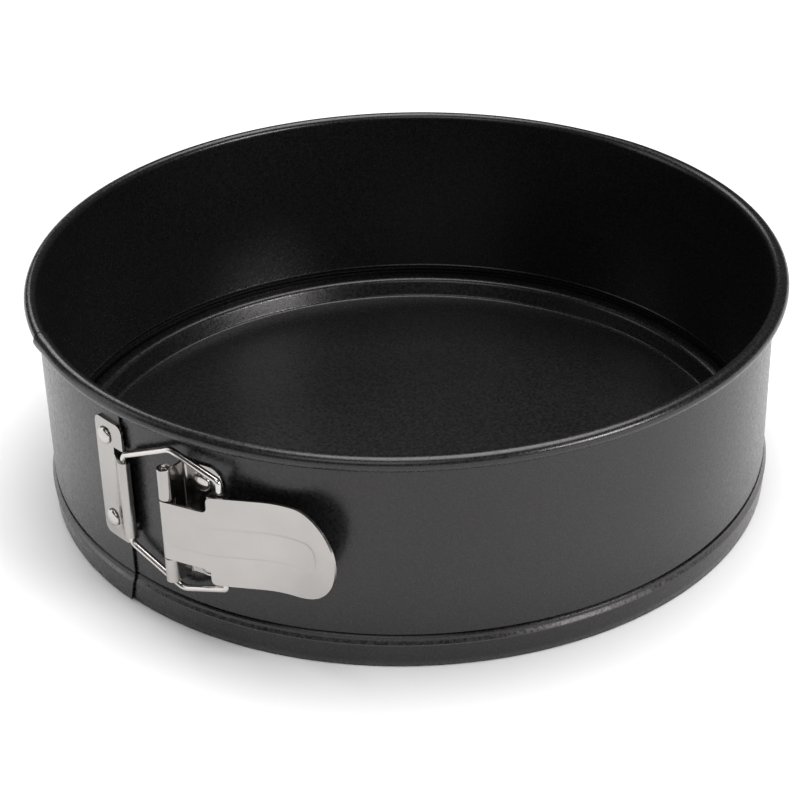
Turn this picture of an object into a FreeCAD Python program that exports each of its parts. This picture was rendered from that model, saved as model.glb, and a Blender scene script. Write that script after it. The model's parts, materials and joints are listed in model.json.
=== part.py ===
"""Springform cake pan: a split steel ring that an over-centre latch closes round a loose base.

Frame: millimetres, +Z up, origin at the centre of the base's underside. The latch hinge pin
stands on the -Y side. An azimuth is measured about +Z from -Y, positive towards +X.
"""
import FreeCAD, Part
import math
import os

from FreeCAD import Vector

# ---- Pan ---------------------------------------------------------------------------------
PAN_DIAMETER = 240.0         # over the rolled rim
PAN_HEIGHT = 72.0            # table to the top of the rim
BAND_SHEET = 0.6
RIM_ROLL_DIAMETER = 4.7      # the roll stands outside the wall
FLAP_ROLL_DIAMETER = 4.0     # the same on the half that carries the flap, which the other overlaps
RIM_ROLL_END = 235.0         # how far round the roll goes, in degrees from its top inner side
SKIRT_FLARE = 1.05           # top of the skirt, outside the straight wall
SKIRT_FOOT_FLARE = 0.4       # the same at its lower edge
SKIRT_TOP = 7.8
CREASE_DEPTH = 0.4           # crease inside the straight wall
CREASE_HEIGHT = 10.6
WALL_START = 11.6            # where the wall is straight again
BAND_BEND = 0.9              # bend radii at the crease

# ---- Split in the band -------------------------------------------------------------------
FLAP_END_ARC = 23.0          # along the wall, from the hinge pin to the end of the outer flap
OVERLAP_ARC = 46.8           # length of the flap over the inner end
FLAP_FOOT_CUT = 2.6          # the flap's end slopes back by this below the crease
FLAP_GAP = 0.2               # between the flap and the band under it
RIM_JOINT_GAP = 0.7          # where the two rolled rims meet
FLAP_TOP_GAP = 0.5           # between the flap's top edge and the roll over it
SEAM_GAP = 0.3               # at the back, where the band is divided so that it can open

# ---- Base --------------------------------------------------------------------------------
BASE_SHEET = 0.8
BASE_CLEARANCE = 0.3         # base rim to the skirt's lower edge, which passes it on the way up
BASE_LEDGE_HEIGHT = 7.2      # top of the base's rim
BASE_LEDGE_WIDTH = 4.0
BASE_STEP_RUN = 2.4          # how far the step leans inwards on its way down
BASE_BEND = 1.4

# ---- Latch -------------------------------------------------------------------------------
LATCH_HEIGHT = 40.5          # mid-height of the latch above the table
PLATE_SHEET = 0.8
PLATE_SEAT = 0.05            # plates to the band they are riveted on
PIN_DIAMETER = 2.6
PIN_CLEARANCE = 0.05         # radial
PIN_STANDOFF = 7.1           # band's outer face to the pin axis
PIN_SHY = 0.4                # pin end below the end of its knuckle
HINGE_PLATE_REACH = 14.6     # along the band, from the pin to the plate's free edge
HINGE_PLATE_HEIGHT = 37.8
HINGE_PLATE_RISE = 1.0       # its middle above the latch's
HINGE_CORNER = 5.0
RISER_BEND = 1.0
LEVER_CURL_HEIGHT = 19.2
KNUCKLE_GAP = 0.35

LEVER_HEIGHT = 29.4
LEVER_NECK_LENGTH = 14.0
LEVER_LENGTH = 52.0
LEVER_NECK_CORNER = 1.6
LEVER_DIP_AT = 35.0          # where the lever comes closest to the band
LEVER_NECK_LEAN = 7.7        # degrees towards the band
LEVER_MAIN_LEAN = 23.0
LEVER_TIP_LEAN = -5.7        # the tip turns away from the band again
LEVER_NECK_BEND = 25.0
LEVER_DIP_BEND = 30.0

EAR_WIDTH = 5.2
EAR_PIVOT_X = 16.6           # ear hole, from the pin axis along X
EAR_PIVOT_IN = 3.1           # and towards the band
EAR_MARGIN = 2.1

WIRE_DIAMETER = 2.0
WIRE_CLEARANCE = 0.08        # radial, in the anchor's curl
WIRE_EAR_GAP = 0.3           # wire end to the ear it hooks into
WIRE_RUN_UPPER = 13.9        # run in the anchor's curl, from the latch's middle up to its corner
WIRE_RUN_LOWER = 15.9        # and down to the other
WIRE_UPPER_APEX = 23.1       # widest point of each arm above or below the latch's middle
WIRE_LOWER_APEX = 24.0
WIRE_UPPER_APEX_SHARE = 0.52  # where that is, along the wire's reach
WIRE_LOWER_APEX_SHARE = 0.54
WIRE_UPPER_SHOULDER = 19.1   # where the arm turns into its hook
WIRE_LOWER_SHOULDER = 17.2
WIRE_RUN_BEND = 3.0
WIRE_APEX_BEND = 5.0
WIRE_HOOK_BEND = 1.4

ANCHOR_ARC = 20.1            # along the band, from the hinge pin to the anchor's curl
ANCHOR_PLATE_WIDTH = 14.0
ANCHOR_PLATE_HEIGHT = 40.4
ANCHOR_PLATE_RISE = 1.6      # its middle above the latch's
ANCHOR_JOGGLE = 5.6          # curl axis to where the sheet leaves the band to pass over the wire
ANCHOR_PLATE_RIGHT = 1.5     # curl axis to the edge of the full-height plate
CURL_END_GAP = 0.1           # where the curl stops short of the wire's bends
CURL_NOTCH = 1.8             # cut above the curl, where the wire comes out
ANCHOR_CORNER = 2.4
CURL_SLIT = 0.3              # where a curl's free edge stops short of its plate
CURL_EDGE_TURN = 25.0        # degrees from the joggle round to the curl's free edge

RIVET_HEAD_DIAMETER = 5.5
RIVET_HEAD_HEIGHT = 1.2
RIVET_SHANK_DIAMETER = 3.0
RIVET_CLEARANCE = 0.05       # radial
RIVET_SPACING = 28.5
ANCHOR_RIVET_RISE = 2.1      # their middle above the latch's
HINGE_RIVET_ARC = 8.0        # from the hinge pin
ANCHOR_RIVET_BACK = 9.2      # from the anchor's curl

# ---- Worked out from them ----------------------------------------------------------------
rim_outer = PAN_DIAMETER / 2
wall_in = rim_outer - RIM_ROLL_DIAMETER
wall_out = wall_in + BAND_SHEET
roll_r = RIM_ROLL_DIAMETER / 2
flap_roll_r = FLAP_ROLL_DIAMETER / 2
rim_bottom = PAN_HEIGHT - RIM_ROLL_DIAMETER
base_rim = wall_in + SKIRT_FOOT_FLARE - BASE_CLEARANCE

flap_end = -math.degrees(FLAP_END_ARC / wall_out)
rim_joint = flap_end - math.degrees(OVERLAP_ARC / wall_out)
seam = flap_end + 180.0
flap_top = rim_bottom - FLAP_TOP_GAP

# The left half lies outside the right half at the flap and runs into it at the seam, so its
# radii are larger by `grow` and its centre is moved by `grow` towards the flap's end.
grow = (BAND_SHEET + FLAP_GAP) / 2

tube_r = PIN_DIAMETER / 2 + PIN_CLEARANCE + PLATE_SHEET
curl_bore = WIRE_DIAMETER / 2 + WIRE_CLEARANCE
curl_r = curl_bore + PLATE_SHEET
plate_in = wall_out + PLATE_SEAT
plate_out = plate_in + PLATE_SHEET
hinge_low = LATCH_HEIGHT + HINGE_PLATE_RISE - HINGE_PLATE_HEIGHT / 2
anchor_low = LATCH_HEIGHT + ANCHOR_PLATE_RISE - ANCHOR_PLATE_HEIGHT / 2


def polar(radius, azimuth, z=0.0):
    angle = math.radians(azimuth)
    return Vector(radius * math.sin(angle), -radius * math.cos(angle), z)


def arc_degrees(length):
    """The azimuth that a length along the wall covers."""
    return math.degrees(length / wall_out)


left_centre = polar(grow, flap_end)
pin = Vector(0, -(wall_out + PIN_STANDOFF), 0)
ear_pivot = pin + Vector(EAR_PIVOT_X, EAR_PIVOT_IN, 0)
anchor_azimuth = -arc_degrees(ANCHOR_ARC)
anchor = left_centre + polar(plate_in + grow + curl_r, anchor_azimuth)


# ---- Shapes ------------------------------------------------------------------------------
def rounded_edges(points, radii):
    """Lines along a polyline, with an arc of its radius at each inner corner."""
    edges = []
    start = points[0]
    for before, corner, after, radius in zip(points, points[1:], points[2:], radii):
        into = (corner - before).normalize()
        out = (after - corner).normalize()
        half_turn = into.getAngle(out) / 2
        reach = radius * math.tan(half_turn)
        inward = (out - into).normalize()
        arc_start = corner - into * reach
        arc_end = corner + out * reach
        arc_middle = corner + inward * (radius / math.cos(half_turn) - radius)
        edges.append(Part.LineSegment(start, arc_start).toShape())
        edges.append(Part.Arc(arc_start, arc_middle, arc_end).toShape())
        start = arc_end
    edges.append(Part.LineSegment(start, points[-1]).toShape())
    return edges


def sheet_face(points, radii, thickness, normal):
    """The section of a bent sheet: one side follows the points, the other lies to their left."""
    lefts = [normal.cross((b - a).normalize()) for a, b in zip(points, points[1:])]
    other = [points[0] + lefts[0] * thickness]
    other_radii = []
    for corner, left_in, left_out, radius in zip(points[1:], lefts, lefts[1:], radii):
        other.append(corner + (left_in + left_out) * (thickness / (1 + left_in.dot(left_out))))
        turns_left = left_in.cross(left_out).dot(normal) > 0
        other_radii.append(radius - thickness if turns_left else radius + thickness)
    other.append(points[-1] + lefts[-1] * thickness)
    edges = rounded_edges(points, radii)
    edges.append(Part.LineSegment(points[-1], other[-1]).toShape())
    edges += rounded_edges(other[::-1], other_radii[::-1])
    edges.append(Part.LineSegment(other[0], points[0]).toShape())
    return Part.Face(Part.Wire(edges))


def turned(face, start, end, centre=Vector(0, 0, 0)):
    """Turns a section drawn at azimuth 0 about the vertical axis through the centre."""
    solid = face.revolve(Vector(0, 0, 0), Vector(0, 0, 1), end - start)
    solid.rotate(Vector(0, 0, 0), Vector(0, 0, 1), start)
    solid.translate(centre)
    return solid


def upright(x, y, z, radius, height):
    return Part.makeCylinder(radius, height, Vector(x, y, z))


def tube(centre, low, height, outer, bore):
    ring = upright(centre.x, centre.y, low, outer, height)
    return ring.cut(upright(centre.x, centre.y, low, bore, height))


def one_solid(shape):
    solid = shape.removeSplitter()
    return solid.Solids[0] if len(solid.Solids) == 1 else solid


# ---- Band --------------------------------------------------------------------------------
def band_wall(wider, top, start, end, centre):
    """Skirt, crease and straight wall up to `top`."""
    outline = [
        (wall_out + SKIRT_FOOT_FLARE, 0.0),
        (wall_out + SKIRT_FLARE, SKIRT_TOP),
        (wall_out - CREASE_DEPTH, CREASE_HEIGHT),
        (wall_out, WALL_START),
        (wall_out, top),
    ]
    points = [polar(r + wider, 0, z) for r, z in outline]
    bends = [BAND_BEND, BAND_BEND, BAND_BEND]
    return turned(sheet_face(points, bends, BAND_SHEET, Vector(-1, 0, 0)), start, end, centre)


def rolled_rim(wider, outer, start, end, centre):
    """The sheet rolled outwards from the top of the wall, nearly closed on itself."""
    middle = wall_in + wider + outer
    inner = outer - BAND_SHEET

    def on_roll(radius, turn):
        angle = math.radians(180 - turn)
        return polar(middle + radius * math.cos(angle), 0, PAN_HEIGHT - outer + radius * math.sin(angle))

    half = RIM_ROLL_END / 2
    face = Part.Face(Part.Wire([
        Part.Arc(on_roll(outer, 0), on_roll(outer, half), on_roll(outer, RIM_ROLL_END)).toShape(),
        Part.LineSegment(on_roll(outer, RIM_ROLL_END), on_roll(inner, RIM_ROLL_END)).toShape(),
        Part.Arc(on_roll(inner, RIM_ROLL_END), on_roll(inner, half), on_roll(inner, 0)).toShape(),
        Part.LineSegment(on_roll(inner, 0), on_roll(outer, 0)).toShape(),
    ]))
    return turned(face, start, end, centre)


def foot_cut():
    """What is cut from the flap's end below the crease, so that it slopes back to its foot."""
    reach = 4 * FLAP_FOOT_CUT
    outline = [(-FLAP_FOOT_CUT, 0), (0, SKIRT_TOP), (reach, SKIRT_TOP), (reach, -1), (-FLAP_FOOT_CUT, -1)]
    points = [Vector(x, -rim_outer - reach, z) for x, z in outline]
    block = Part.Face(Part.makePolygon(points + points[:1])).extrude(Vector(0, 2 * reach, 0))
    block.rotate(Vector(0, 0, 0), Vector(0, 0, 1), flap_end)
    block.translate(left_centre)
    return block


def make_ring_right():
    middle = Vector(0, 0, 0)
    wall = band_wall(0, PAN_HEIGHT - roll_r, rim_joint, seam, middle)
    ring = wall.fuse(rolled_rim(0, roll_r, rim_joint, seam, middle))
    return ring.cut(rivet_holes(middle, 0, hinge_rivet_azimuth, hinge_rivet_levels))


def make_ring_left():
    start = seam + arc_degrees(SEAM_GAP)
    joint = rim_joint + 360 - arc_degrees(RIM_JOINT_GAP)
    end = flap_end + 360
    wall = band_wall(grow, PAN_HEIGHT - flap_roll_r, start, joint, left_centre)
    flap = band_wall(grow, flap_top, joint, end, left_centre).cut(foot_cut())
    ring = wall.fuse([flap, rolled_rim(grow, flap_roll_r, start, joint, left_centre)])
    return ring.cut(rivet_holes(left_centre, grow, anchor_rivet_azimuth, anchor_rivet_levels))


# ---- Base --------------------------------------------------------------------------------
def make_base():
    """A shallow tray whose flat rim lies in the skirt, under the crease."""
    ledge_under = BASE_LEDGE_HEIGHT - BASE_SHEET
    step_top = base_rim - BASE_LEDGE_WIDTH
    outline = [
        (0.0, 0.0),
        (step_top - BASE_STEP_RUN, 0.0),
        (step_top, ledge_under),
        (base_rim, ledge_under),
    ]
    points = [polar(r, 0, z) for r, z in outline]
    bends = [BASE_BEND + BASE_SHEET, BASE_BEND]
    return turned(sheet_face(points, bends, BASE_SHEET, Vector(-1, 0, 0)), 0, 360)


# ---- Rivets ------------------------------------------------------------------------------
hinge_rivet_azimuth = arc_degrees(HINGE_RIVET_ARC)
anchor_rivet_azimuth = anchor_azimuth - arc_degrees(ANCHOR_RIVET_BACK)
hinge_rivet_levels = [LATCH_HEIGHT + side * RIVET_SPACING / 2 for side in (1, -1)]
anchor_rivet_levels = [z + ANCHOR_RIVET_RISE for z in hinge_rivet_levels]


def rivet_holes(centre, wider, azimuth, levels):
    radius = RIVET_SHANK_DIAMETER / 2 + RIVET_CLEARANCE
    reach = 3 * PLATE_SHEET + BAND_SHEET
    holes = []
    for z in levels:
        start = centre + polar(wall_in + wider - PLATE_SHEET, azimuth, z)
        holes.append(Part.makeCylinder(radius, reach, start, polar(1, azimuth)))
    return holes


def make_rivet(centre, wider, azimuth, z):
    """Domed head on the plate; the shank ends flush with the inside of the band."""
    head_r = RIVET_HEAD_DIAMETER / 2
    shank_r = RIVET_SHANK_DIAMETER / 2
    inner = wall_in + wider + PLATE_SEAT
    seat = plate_out + wider + PLATE_SEAT / 2
    edge = seat + RIVET_HEAD_HEIGHT / 3
    crown = seat + RIVET_HEAD_HEIGHT
    dome = (head_r ** 2 + (crown - edge) ** 2) / (2 * (crown - edge))
    side = Vector(head_r / 2, -(crown - dome) - math.sqrt(dome ** 2 - head_r ** 2 / 4), 0)
    corners = [(0, crown), (head_r, edge), (head_r, seat), (shank_r, seat), (shank_r, inner), (0, inner)]
    points = [Vector(x, -r, 0) for x, r in corners]
    edges = [Part.Arc(points[0], side, points[1]).toShape()]
    edges += [Part.LineSegment(a, b).toShape() for a, b in zip(points[1:], points[2:] + points[:1])]
    solid = Part.Face(Part.Wire(edges)).revolve(Vector(0, 0, 0), Vector(0, 1, 0), 360)
    solid.rotate(Vector(0, 0, 0), Vector(0, 0, 1), azimuth)
    solid.translate(centre + Vector(0, 0, z))
    return solid


# ---- Latch -------------------------------------------------------------------------------
def band_plate(azimuths, low, height, radius, centre):
    """A piece of sheet bent to the band's curve."""
    start, end = azimuths
    outline = [(radius, low), (radius + PLATE_SHEET, low), (radius + PLATE_SHEET, low + height),
               (radius, low + height), (radius, low)]
    face = Part.Face(Part.makePolygon([polar(r, 0, z) for r, z in outline]))
    return turned(face, start, end, centre)


def side_edges(solid, centre, azimuth, low, high):
    """The edges that run through the sheet at one side's upper and lower corners."""
    found = []
    for edge in solid.Edges:
        middle = edge.CenterOfMass - centre
        at_side = abs(math.degrees(math.atan2(middle.x, -middle.y)) - azimuth) < 0.05
        at_corner = min(abs(middle.z - low), abs(middle.z - high)) < 0.01
        if at_side and at_corner:
            found.append(edge)
    return found


def slit(centre, direction, low, height, reach):
    """A thin upright cut from a curl's axis out through its wall."""
    cut = Part.makeBox(reach, CURL_SLIT, height, Vector(0, -CURL_SLIT / 2, low))
    cut.rotate(Vector(0, 0, 0), Vector(0, 0, 1), direction)
    cut.translate(Vector(centre.x, centre.y, 0))
    return cut


def make_hinge_plate():
    """Riveted flat on the band, then bent out into a riser that ends in two knuckles."""
    riser_out = tube_r
    riser_in = tube_r - PLATE_SHEET
    plate_left = math.degrees(math.asin(riser_in / plate_out))
    plate_right = arc_degrees(HINGE_PLATE_REACH)
    height = HINGE_PLATE_HEIGHT
    plate = band_plate((plate_left, plate_right), hinge_low, height, plate_in, Vector(0, 0, 0))
    corners = side_edges(plate, Vector(0, 0, 0), plate_right, hinge_low, hinge_low + height)
    plate = plate.makeFillet(HINGE_CORNER, corners)

    root = math.sqrt(plate_in ** 2 - riser_in ** 2)
    riser = Part.makeBox(PLATE_SHEET, -pin.y - root, height, Vector(riser_in, pin.y, hinge_low))
    bracket = plate.fuse(riser).removeSplitter()
    inside = [e for e in bracket.Edges
              if abs(e.CenterOfMass.x - riser_out) < 0.01
              and e.CenterOfMass.y > pin.y + tube_r
              and e.Length > height - 0.01]
    bracket = bracket.makeFillet(RISER_BEND, inside)

    whole = upright(pin.x, pin.y, hinge_low, tube_r, height)
    bore = upright(pin.x, pin.y, hinge_low, tube_r - PLATE_SHEET, height)
    window = LEVER_CURL_HEIGHT + 2 * KNUCKLE_GAP
    window_low = LATCH_HEIGHT - window / 2
    clear = upright(pin.x, pin.y, window_low, tube_r + KNUCKLE_GAP, window)
    edge = slit(pin, 35, hinge_low, height, riser_in / math.cos(math.radians(35)))
    bracket = bracket.fuse(whole).cut([bore, clear, edge])
    return bracket.cut(rivet_holes(Vector(0, 0, 0), 0, hinge_rivet_azimuth, hinge_rivet_levels))


def curl_reach(corner, apex, share):
    """From the latch's middle to the curl's end, short of where the wire bends at its corner."""
    arm = Vector(share * (ear_pivot - anchor).Length, 0, apex - corner)
    half_turn = arm.getAngle(Vector(0, 0, 1)) / 2
    return corner - WIRE_RUN_BEND * math.tan(half_turn) - CURL_END_GAP


def make_anchor_plate():
    """Riveted on the flap; its edge passes over the wire's straight run and curls round it."""
    centre = left_centre
    radius = plate_in + grow
    left = anchor_azimuth - arc_degrees(ANCHOR_PLATE_WIDTH)
    right = anchor_azimuth - arc_degrees(ANCHOR_PLATE_RIGHT)
    bend = anchor_azimuth - arc_degrees(ANCHOR_JOGGLE)
    plate = band_plate((left, right), anchor_low, ANCHOR_PLATE_HEIGHT, radius, centre)
    high = anchor_low + ANCHOR_PLATE_HEIGHT
    corners = side_edges(plate, centre, left, anchor_low, high)
    corners += side_edges(plate, centre, right, anchor_low, high)
    plate = plate.makeFillet(ANCHOR_CORNER, corners)

    # Where the wire runs, the sheet leaves the band and goes straight to the curl's front.
    curl_low = LATCH_HEIGHT - curl_reach(WIRE_RUN_LOWER, WIRE_LOWER_APEX, WIRE_LOWER_APEX_SHARE)
    curl_high = LATCH_HEIGHT + curl_reach(WIRE_RUN_UPPER, WIRE_UPPER_APEX, WIRE_UPPER_APEX_SHARE)
    height = curl_high - curl_low
    lifted = band_plate((bend, right + 1), curl_low, height + CURL_NOTCH, radius, centre)
    leaves = centre + polar(radius, bend)
    to_curl = anchor - leaves
    angle = -math.degrees(math.asin(curl_bore / to_curl.Length))
    along = FreeCAD.Rotation(Vector(0, 0, 1), angle).multVec(to_curl).normalize()
    meets = leaves + along * math.sqrt(to_curl.Length ** 2 - curl_bore ** 2)
    low = Vector(0, 0, curl_low)
    section = sheet_face([leaves + low, meets + low], [], PLATE_SHEET, Vector(0, 0, -1))
    web = section.extrude(Vector(0, 0, height))

    curl = tube(anchor, curl_low, height, curl_r, curl_bore)
    inward = math.degrees(math.atan2(-to_curl.y, -to_curl.x)) - CURL_EDGE_TURN
    curl = curl.cut(slit(anchor, inward, curl_low, height, 1.2 * curl_r))
    plate = plate.cut(lifted).fuse([web, curl])
    return plate.cut(rivet_holes(centre, grow, anchor_rivet_azimuth, anchor_rivet_levels))


def lever_outer_path():
    """The lever's outer face from above: off the curl, in to the dip, then out at the tip."""
    def lean(degrees):
        angle = math.radians(degrees)
        return Vector(math.cos(angle), math.sin(angle), 0)

    neck = lean(LEVER_NECK_LEAN)
    start = pin + Vector(neck.y, -neck.x, 0) * tube_r
    knee = start + neck * ((LEVER_NECK_LENGTH - start.x) / neck.x)
    dip = knee + lean(LEVER_MAIN_LEAN) * ((LEVER_DIP_AT - knee.x) / lean(LEVER_MAIN_LEAN).x)
    tip = dip + lean(LEVER_TIP_LEAN) * ((LEVER_LENGTH - dip.x) / lean(LEVER_TIP_LEAN).x)
    return [start, knee, dip, tip]


def make_lever():
    """Curl on the pin, narrow neck, wide thumb plate with a round end, two ears for the wire."""
    up = Vector(0, 0, 1)
    half = LEVER_HEIGHT / 2
    low = LATCH_HEIGHT - half
    path = lever_outer_path()
    bends = [LEVER_NECK_BEND, LEVER_DIP_BEND]
    at_low = [p + up * low for p in path]
    sheet = sheet_face(at_low, bends, PLATE_SHEET, up).extrude(up * LEVER_HEIGHT)

    neck_half = LEVER_CURL_HEIGHT / 2
    round_x = LEVER_LENGTH - half
    front = pin.y - 2 * LEVER_NECK_LENGTH

    def at(x, z):
        return Vector(x, front, LATCH_HEIGHT + z)

    neck_x = LEVER_NECK_LENGTH
    upper = rounded_edges([at(0, neck_half), at(neck_x, neck_half), at(neck_x, half), at(round_x, half)],
                          [LEVER_NECK_CORNER, LEVER_NECK_CORNER])
    lower = rounded_edges([at(round_x, -half), at(neck_x, -half), at(neck_x, -neck_half), at(0, -neck_half)],
                          [LEVER_NECK_CORNER, LEVER_NECK_CORNER])
    end = Part.Arc(at(round_x, half), at(LEVER_LENGTH, 0), at(round_x, -half)).toShape()
    close = Part.LineSegment(at(0, -neck_half), at(0, neck_half)).toShape()
    outline = Part.Face(Part.Wire(upper + [end] + lower + [close]))
    prism = outline.extrude(Vector(0, 3 * LEVER_NECK_LENGTH, 0))
    lever = sheet.common(prism)

    # The ears reach from the plate towards the band.
    ear_end = ear_pivot.y + EAR_MARGIN
    behind = [Vector(path[-1].x, ear_end, low), Vector(path[0].x, ear_end, low)]
    outer = rounded_edges(at_low, bends)
    outer.append(Part.LineSegment(at_low[-1], behind[0]).toShape())
    outer.append(Part.LineSegment(behind[0], behind[1]).toShape())
    outer.append(Part.LineSegment(behind[1], at_low[0]).toShape())
    backing = Part.Face(Part.Wire(outer)).extrude(up * LEVER_HEIGHT)
    ear_left = ear_pivot.x - EAR_WIDTH / 2
    for ear_low in (low, low + LEVER_HEIGHT - PLATE_SHEET):
        block = Part.makeBox(EAR_WIDTH, 2 * EAR_WIDTH, PLATE_SHEET,
                             Vector(ear_left, ear_end - 2 * EAR_WIDTH, ear_low))
        hole = upright(ear_pivot.x, ear_pivot.y, ear_low, WIRE_DIAMETER / 2 + WIRE_CLEARANCE, PLATE_SHEET)
        lever = lever.fuse(block.common(backing)).cut(hole)

    curl_low = LATCH_HEIGHT - neck_half
    whole = upright(pin.x, pin.y, curl_low, tube_r, LEVER_CURL_HEIGHT)
    bore = upright(pin.x, pin.y, curl_low, tube_r - PLATE_SHEET, LEVER_CURL_HEIGHT)
    return lever.fuse(whole).cut(bore)


def make_pin():
    height = HINGE_PLATE_HEIGHT - 2 * PIN_SHY
    rod = upright(pin.x, pin.y, hinge_low + PIN_SHY, PIN_DIAMETER / 2, height)
    return rod.makeChamfer(PIN_DIAMETER / 8, [e for e in rod.Edges if len(e.Vertexes) == 1])


def make_wire():
    """One bent wire: a straight run in the anchor's curl and two arms that hook in at the ears."""
    reach = ear_pivot - anchor
    hook_end = LEVER_HEIGHT / 2 + WIRE_EAR_GAP
    outline = [
        (1.0, hook_end),
        (1.0, WIRE_UPPER_SHOULDER),
        (WIRE_UPPER_APEX_SHARE, WIRE_UPPER_APEX),
        (0.0, WIRE_RUN_UPPER),
        (0.0, -WIRE_RUN_LOWER),
        (WIRE_LOWER_APEX_SHARE, -WIRE_LOWER_APEX),
        (1.0, -WIRE_LOWER_SHOULDER),
        (1.0, -hook_end),
    ]
    bends = [WIRE_HOOK_BEND, WIRE_APEX_BEND, WIRE_RUN_BEND]
    points = [anchor + reach * share + Vector(0, 0, LATCH_HEIGHT + z) for share, z in outline]
    path = Part.Wire(rounded_edges(points, bends + bends[::-1]))
    section = Part.Wire(Part.makeCircle(WIRE_DIAMETER / 2, points[0], Vector(0, 0, 1)))
    return path.makePipeShell([section], True, True)


# ---- Write the nodes ---------------------------------------------------------------------
def main():
    os.makedirs("parts", exist_ok=True)
    nodes = {
        "base_plate": make_base(),
        "ring_right": make_ring_right(),
        "ring_left": make_ring_left(),
        "hinge_plate": make_hinge_plate(),
        "hinge_pin": make_pin(),
        "latch_lever": make_lever(),
        "latch_wire": make_wire(),
        "anchor_plate": make_anchor_plate(),
    }
    for name, z in zip(("upper", "lower"), hinge_rivet_levels):
        nodes["hinge_rivet_" + name] = make_rivet(Vector(0, 0, 0), 0, hinge_rivet_azimuth, z)
    for name, z in zip(("upper", "lower"), anchor_rivet_levels):
        nodes["anchor_rivet_" + name] = make_rivet(left_centre, grow, anchor_rivet_azimuth, z)
    for name, shape in nodes.items():
        solid = one_solid(shape)
        print(name, "valid" if solid.isValid() else "NOT VALID", len(solid.Solids), round(solid.Volume, 1))
        solid.exportStep("parts/" + name + ".step")


main()
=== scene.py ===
"""Looks for the springform pan: coated band and base, plated over-centre latch, plain studio."""

import json
import math

import bmesh
import bpy
from mathutils import Matrix, Vector


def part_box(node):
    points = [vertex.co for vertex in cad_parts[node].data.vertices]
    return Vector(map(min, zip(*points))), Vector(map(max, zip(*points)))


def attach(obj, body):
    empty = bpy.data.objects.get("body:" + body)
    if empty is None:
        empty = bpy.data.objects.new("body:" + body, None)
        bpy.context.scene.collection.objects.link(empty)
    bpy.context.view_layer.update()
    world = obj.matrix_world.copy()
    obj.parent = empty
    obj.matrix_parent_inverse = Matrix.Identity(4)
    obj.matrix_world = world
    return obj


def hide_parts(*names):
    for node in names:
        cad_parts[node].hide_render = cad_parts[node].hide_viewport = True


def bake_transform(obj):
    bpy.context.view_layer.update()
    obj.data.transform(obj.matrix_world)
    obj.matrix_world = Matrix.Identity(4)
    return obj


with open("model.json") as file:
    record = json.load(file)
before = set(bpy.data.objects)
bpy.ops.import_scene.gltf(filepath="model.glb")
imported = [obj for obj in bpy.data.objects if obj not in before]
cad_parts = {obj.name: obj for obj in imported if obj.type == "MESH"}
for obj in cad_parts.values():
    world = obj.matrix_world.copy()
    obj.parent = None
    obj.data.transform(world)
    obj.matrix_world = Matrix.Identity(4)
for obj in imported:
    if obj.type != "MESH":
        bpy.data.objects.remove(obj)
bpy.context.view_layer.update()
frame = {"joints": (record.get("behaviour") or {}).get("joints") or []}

MM = 0.001

# ---- Sizes that the frame gives ----------------------------------------------------------
joints = {j["name"]: j for j in frame["joints"]}


def flat(point):
    return Vector((point[0], point[1]))


ring_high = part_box("ring_right")[1]
base_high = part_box("base_plate")[1]
lever_low, lever_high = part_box("latch_lever")
hinge_low, hinge_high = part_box("hinge_plate")
anchor_low, anchor_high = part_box("anchor_plate")
pin_low, pin_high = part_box("hinge_pin")

rim_outer = ring_high.x
pan_top = ring_high.z
pin_axis = flat(joints["lever_pivot"]["pos_m"])
anchor_axis = flat(joints["wire_swing"]["pos_m"])
seam_pivot = flat(joints["ring_open"]["pos_m"])
latch_z = (lever_low.z + lever_high.z) / 2
curl_out = -lever_low.x
base_rim = base_high.x


def azimuth_of(point):
    """Degrees about +Z from -Y, positive towards +X."""
    return math.degrees(math.atan2(point[0], -point[1]))


seam = azimuth_of(seam_pivot)
flap_end = seam - 180

# ---- Sizes of the sheet metal ------------------------------------------------------------
BAND = 0.6 * MM              # sheet of the band
PLATE = 0.8 * MM             # sheet of the base, plates and lever
ROLL = 2.35 * MM             # radius of the rolled rim
ROLL_END = 235.0             # how far round it goes, in degrees
SKIRT_FLARE = 1.05 * MM      # top of the skirt, outside the wall
FOOT_FLARE = 0.4 * MM        # the same at its lower edge
SKIRT_TOP = 7.8 * MM
CREASE_DEPTH = 0.4 * MM
CREASE_Z = 10.6 * MM
BEAD_OUT, BEAD_DOWN = 0.32 * MM, 1.45 * MM    # where the bead under the crease turns down
LIP_OUT, LIP_DOWN = 0.22 * MM, 0.6 * MM       # where it starts
FOOT_GAP = 0.12 * MM         # rounding of the band's lower edge
FLAP_ROLL = 2.0 * MM         # radius of the rolled rim on the flap's half
GROW = 0.4 * MM              # the flap half's radii and centre, as in the CAD
SHY = 0.03 * MM              # keeps the round rim inside the CAD's faceted one
PLATE_SEAT = 0.05 * MM
WIRE = 1.0 * MM              # wire radius
HOLE_PLAY = 0.08 * MM        # wire in its curl and ear holes, radial
OVERLAP_ARC = 46.8 * MM      # flap over the other end of the band, along the wall
RIM_JOINT_GAP = 0.7 * MM     # where the two rolled rims meet
FLAP_TOP_GAP = 0.5 * MM      # flap's top edge below the roll
FLAP_FOOT_CUT = 2.6 * MM     # the flap's end slopes back by this at the foot
WALL_STEP = 3 * MM           # longest edge in the band's section
TRAY_STEP = 6 * MM           # and in the base's

wall_in = rim_outer - 2 * ROLL
wall_out = wall_in + BAND
plate_in = wall_out + PLATE_SEAT
rim_joint = flap_end - math.degrees(OVERLAP_ARC / wall_out)


def polar(radius, azimuth, z=0.0):
    a = math.radians(azimuth)
    return Vector((radius * math.sin(a), -radius * math.cos(a), z))


left_centre = polar(GROW, flap_end)


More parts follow.
